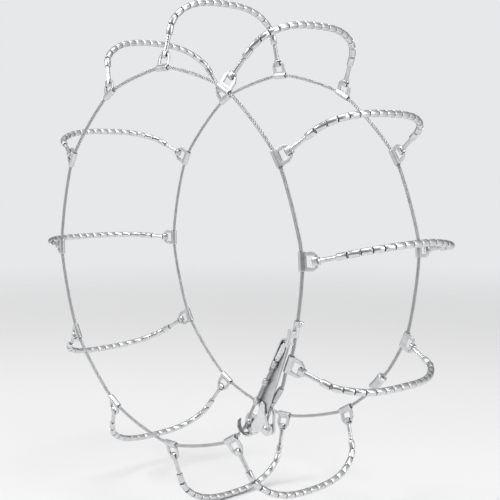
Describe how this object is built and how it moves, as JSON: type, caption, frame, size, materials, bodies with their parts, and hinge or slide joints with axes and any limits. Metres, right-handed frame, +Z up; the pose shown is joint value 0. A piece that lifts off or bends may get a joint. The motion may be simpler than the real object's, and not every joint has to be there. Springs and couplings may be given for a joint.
{
  "type": "tyre snow chain",
  "caption": "Cable-type tyre chain in its fitted shape: rollers on wire-rope cross members hooked to two side cables, closed by a lever tightener.",
  "frame": {"origin": "centre of the ring, on the wheel axis, midway between the two side cables", "axes": "Y along the wheel axis with the outer side at -Y, +Z up in the fitted pose"},
  "size_m": [0.7362, 0.2508, 0.7377],
  "materials": {
    "wire_rope": "galvanised stranded wire rope",
    "roller_steel": "zinc-plated rolled steel tube, lightly worn",
    "clip_steel": "zinc-plated folded sheet steel",
    "lever_steel": "zinc-plated pressed steel, satin"
  },
  "bodies": {
    "chain_frame": {"outer_side_cable": "wire_rope", "inner_side_cable": "wire_rope", "inner_coupler": "clip_steel", "inner_stop_sleeve": "clip_steel", "cable_end_ferrule": "clip_steel", "yoke_link": "clip_steel", "cable_clip_01": "clip_steel", "cable_clip_02": "clip_steel", "cable_clip_03": "clip_steel", "cable_clip_04": "clip_steel", "cable_clip_05": "clip_steel", "cable_clip_06": "clip_steel", "cable_clip_07": "clip_steel", "cable_clip_08": "clip_steel", "cable_clip_09": "clip_steel", "cable_clip_10": "clip_steel", "cable_clip_11": "clip_steel", "cable_clip_12": "clip_steel"},
    "member_01": {"cross_cable_01": "wire_rope", "roller_string_01": "roller_steel"},
    "roller_01": {"end_roller_01": "roller_steel"},
    "member_02": {"cross_cable_02": "wire_rope", "roller_string_02": "roller_steel"},
    "roller_02": {"end_roller_02": "roller_steel"},
    "member_03": {"cross_cable_03": "wire_rope", "roller_string_03": "roller_steel"},
    "roller_03": {"end_roller_03": "roller_steel"},
    "member_04": {"cross_cable_04": "wire_rope", "roller_string_04": "roller_steel"},
    "roller_04": {"end_roller_04": "roller_steel"},
    "member_05": {"cross_cable_05": "wire_rope", "roller_string_05": "roller_steel"},
    "roller_05": {"end_roller_05": "roller_steel"},
    "member_06": {"cross_cable_06": "wire_rope", "roller_string_06": "roller_steel"},
    "roller_06": {"end_roller_06": "roller_steel"},
    "member_07": {"cross_cable_07": "wire_rope", "roller_string_07": "roller_steel"},
    "roller_07": {"end_roller_07": "roller_steel"},
    "member_08": {"cross_cable_08": "wire_rope", "roller_string_08": "roller_steel"},
    "roller_08": {"end_roller_08": "roller_steel"},
    "member_09": {"cross_cable_09": "wire_rope", "roller_string_09": "roller_steel"},
    "roller_09": {"end_roller_09": "roller_steel"},
    "member_10": {"cross_cable_10": "wire_rope", "roller_string_10": "roller_steel"},
    "roller_10": {"end_roller_10": "roller_steel"},
    "member_11": {"cross_cable_11": "wire_rope", "roller_string_11": "roller_steel"},
    "roller_11": {"end_roller_11": "roller_steel"},
    "member_12": {"cross_cable_12": "wire_rope", "roller_string_12": "roller_steel"},
    "roller_12": {"end_roller_12": "roller_steel"},
    "lever": {"tension_lever": "lever_steel", "crank_plate": "lever_steel", "pivot_rivet": "lever_steel", "catch_cup": "lever_steel", "adjuster_tail": "wire_rope"},
    "keeper": {"tip_keeper": "clip_steel"}
  },
  "joints": [
    {"name": "member_swing_01", "type": "hinge", "parent": "chain_frame", "child": "member_01", "pos_m": [-0.00349, 0, 0.28537], "axis": [0, 1, 0], "range_deg": [-6, 6]},
    {"name": "roller_spin_01", "type": "hinge", "parent": "member_01", "child": "roller_01", "pos_m": [-0.0039, -0.10066, 0.31956], "axis": [-0.0118, 0.2588, 0.9659], "continuous": true},
    {"name": "member_swing_02", "type": "hinge", "parent": "chain_frame", "child": "member_02", "pos_m": [0.13525, 0, 0.24911], "axis": [0, 1, 0], "range_deg": [-6, 6]},
    {"name": "roller_spin_02", "type": "hinge", "parent": "member_02", "child": "roller_02", "pos_m": [0.15539, -0.10066, 0.27708], "axis": [0.5646, 0.2569, 0.7844], "continuous": true},
    {"name": "member_swing_03", "type": "hinge", "parent": "chain_frame", "child": "member_03", "pos_m": [0.23996, 0, 0.15287], "axis": [0, 1, 0], "range_deg": [-6, 6]},
    {"name": "roller_spin_03", "type": "hinge", "parent": "member_03", "child": "roller_03", "pos_m": [0.26747, -0.10066, 0.17333], "axis": [0.7752, 0.2582, 0.5766], "continuous": true},
    {"name": "member_swing_04", "type": "hinge", "parent": "chain_frame", "child": "member_04", "pos_m": [0.2868, 0, 0.02005], "axis": [0, 1, 0], "range_deg": [-6, 6]},
    {"name": "roller_spin_04", "type": "hinge", "parent": "member_04", "child": "roller_04", "pos_m": [0.32048, -0.10066, 0.02867], "axis": [0.9368, 0.2549, 0.2396], "continuous": true},
    {"name": "member_swing_05", "type": "hinge", "parent": "chain_frame", "child": "member_05", "pos_m": [0.26401, 0, -0.1192], "axis": [0, 1, 0], "range_deg": [-6, 6]},
    {"name": "roller_spin_05", "type": "hinge", "parent": "member_05", "child": "roller_05", "pos_m": [0.29619, -0.10066, -0.13102], "axis": [0.9069, 0.2582, -0.3329], "continuous": true},
    {"name": "member_swing_06", "type": "hinge", "parent": "chain_frame", "child": "member_06", "pos_m": [0.14776, 0, -0.24787], "axis": [0, 1, 0], "range_deg": [-6, 6]},
    {"name": "roller_spin_06", "type": "hinge", "parent": "member_06", "child": "roller_06", "pos_m": [0.161, -0.10066, -0.27979], "axis": [0.3702, 0.2563, -0.8929], "continuous": true},
    {"name": "member_swing_07", "type": "hinge", "parent": "chain_frame", "child": "member_07", "pos_m": [0.00947, 0, -0.28536], "axis": [0, 1, 0], "range_deg": [-6, 6]},
    {"name": "roller_spin_07", "type": "hinge", "parent": "member_07", "child": "roller_07", "pos_m": [0.01245, -0.10066, -0.31947], "axis": [0.0843, 0.2585, -0.9623], "continuous": true},
    {"name": "member_swing_08", "type": "hinge", "parent": "chain_frame", "child": "member_08", "pos_m": [-0.13828, 0, -0.24743], "axis": [0, 1, 0], "range_deg": [-6, 6]},
    {"name": "roller_spin_08", "type": "hinge", "parent": "member_08", "child": "roller_08", "pos_m": [-0.15658, -0.10066, -0.27637], "axis": [-0.5163, 0.2585, -0.8165], "continuous": true},
    {"name": "member_swing_09", "type": "hinge", "parent": "chain_frame", "child": "member_09", "pos_m": [-0.24478, 0, -0.14534], "axis": [0, 1, 0], "range_deg": [-6, 6]},
    {"name": "roller_spin_09", "type": "hinge", "parent": "member_09", "child": "roller_09", "pos_m": [-0.27292, -0.10066, -0.16492], "axis": [-0.7929, 0.2582, -0.5519], "continuous": true},
    {"name": "member_swing_10", "type": "hinge", "parent": "chain_frame", "child": "member_10", "pos_m": [-0.28787, 0, -0.00201], "axis": [0, 1, 0], "range_deg": [-6, 6]},
    {"name": "roller_spin_10", "type": "hinge", "parent": "member_10", "child": "roller_10", "pos_m": [-0.32208, -0.10066, 0.00023], "axis": [-0.964, 0.2582, 0.063], "continuous": true},
    {"name": "member_swing_11", "type": "hinge", "parent": "chain_frame", "child": "member_11", "pos_m": [-0.24945, 0, 0.14752], "axis": [0, 1, 0], "range_deg": [-6, 6]},
    {"name": "roller_spin_11", "type": "hinge", "parent": "member_11", "child": "roller_11", "pos_m": [-0.27983, -0.10066, 0.16333], "axis": [-0.8569, 0.2585, 0.446], "continuous": true},
    {"name": "member_swing_12", "type": "hinge", "parent": "chain_frame", "child": "member_12", "pos_m": [-0.14027, 0, 0.25201], "axis": [0, 1, 0], "range_deg": [-6, 6]},
    {"name": "roller_spin_12", "type": "hinge", "parent": "member_12", "child": "roller_12", "pos_m": [-0.15528, -0.10066, 0.28279], "axis": [-0.4234, 0.2585, 0.8683], "continuous": true},
    {"name": "lever_close", "type": "hinge", "parent": "chain_frame", "child": "lever", "pos_m": [0.215, 0, -0.2], "axis": [0, -1, 0], "range_deg": [0, 100]},
    {"name": "keeper_turn", "type": "hinge", "parent": "chain_frame", "child": "keeper", "pos_m": [0.25953, -0.115, -0.06551], "axis": [0.1899, 0, 0.9818], "range_deg": [0, 95]}
  ]
}
